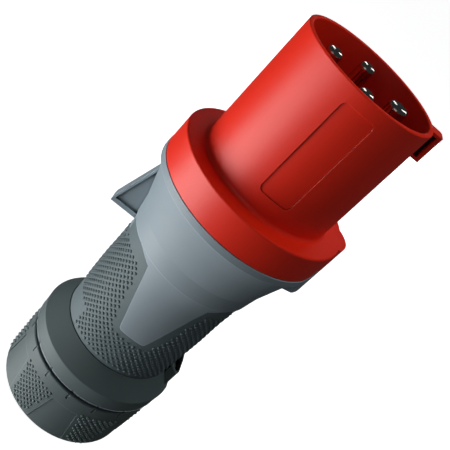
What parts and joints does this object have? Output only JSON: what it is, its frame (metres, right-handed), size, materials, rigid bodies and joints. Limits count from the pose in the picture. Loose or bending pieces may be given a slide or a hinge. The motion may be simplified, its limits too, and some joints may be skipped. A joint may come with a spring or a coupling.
{
  "type": "industrial pin and sleeve plug",
  "caption": "Industrial pin and sleeve plug: red sleeve with round contact pins, grey housing with catch lug, soft grip, twist gland nut and nut lock.",
  "frame": {"origin": "on the plug's axis, at the rear end of the gland nut, on which it stands", "axes": "+Z along the axis to the mouth of the sleeve, -Y to the earth pin and key rib, +Y to the catch lug"},
  "size_m": [0.0924, 0.098, 0.2455],
  "materials": {
    "red_shroud": "fine grained moulded",
    "dark_carrier": "moulded",
    "nickel_pin": "nickel plated, turned",
    "zinc_clamp": "zinc plated",
    "zinc_screw": "zinc plated",
    "black_seal": "smooth",
    "grey_housing": "fine grained moulded",
    "soft_grip": "matte with small nubs",
    "dark_collar": "fine grained moulded",
    "dark_nut": "fine grained moulded, nubbed panels",
    "black_slider": "moulded",
    "natural_ring": "moulded"
  },
  "bodies": {
    "plug_body": {"sleeve_shroud": "red_shroud", "contact_carrier": "dark_carrier", "earth_pin": "nickel_pin", "phase_pin_l1": "nickel_pin", "phase_pin_l2": "nickel_pin", "phase_pin_l3": "nickel_pin", "earth_clamp": "zinc_clamp", "phase_clamp_l1": "zinc_clamp", "phase_clamp_l2": "zinc_clamp", "phase_clamp_l3": "zinc_clamp", "clamp_screws": "zinc_screw", "carrier_screws": "zinc_screw", "front_seal": "black_seal", "rear_housing": "grey_housing", "grip_sleeve": "soft_grip", "gland_collar": "dark_collar", "clamping_cage": "natural_ring", "gland_seal": "black_seal"},
    "pressure_ring": {"slip_ring": "natural_ring"},
    "turning_nut": {"gland_nut": "dark_nut"},
    "nut_lock": {"lock_slider": "black_slider"}
  },
  "joints": [
    {"name": "nut_travel", "type": "slide", "parent": "plug_body", "child": "pressure_ring", "axis": [0, 0, -1], "range_m": [0, 0.006]},
    {"name": "nut_turn", "type": "hinge", "parent": "pressure_ring", "child": "turning_nut", "pos_m": [0, 0, 0.018], "axis": [0, 0, -1], "range_deg": [0, 720]},
    {"name": "lock_slide", "type": "slide", "parent": "plug_body", "child": "nut_lock", "axis": [0, 0, -1], "range_m": [0, 0.003]}
  ],
  "couplings": [
    {"joint": "nut_travel", "follows": "nut_turn", "m_per_rad": 0.00047746}
  ]
}
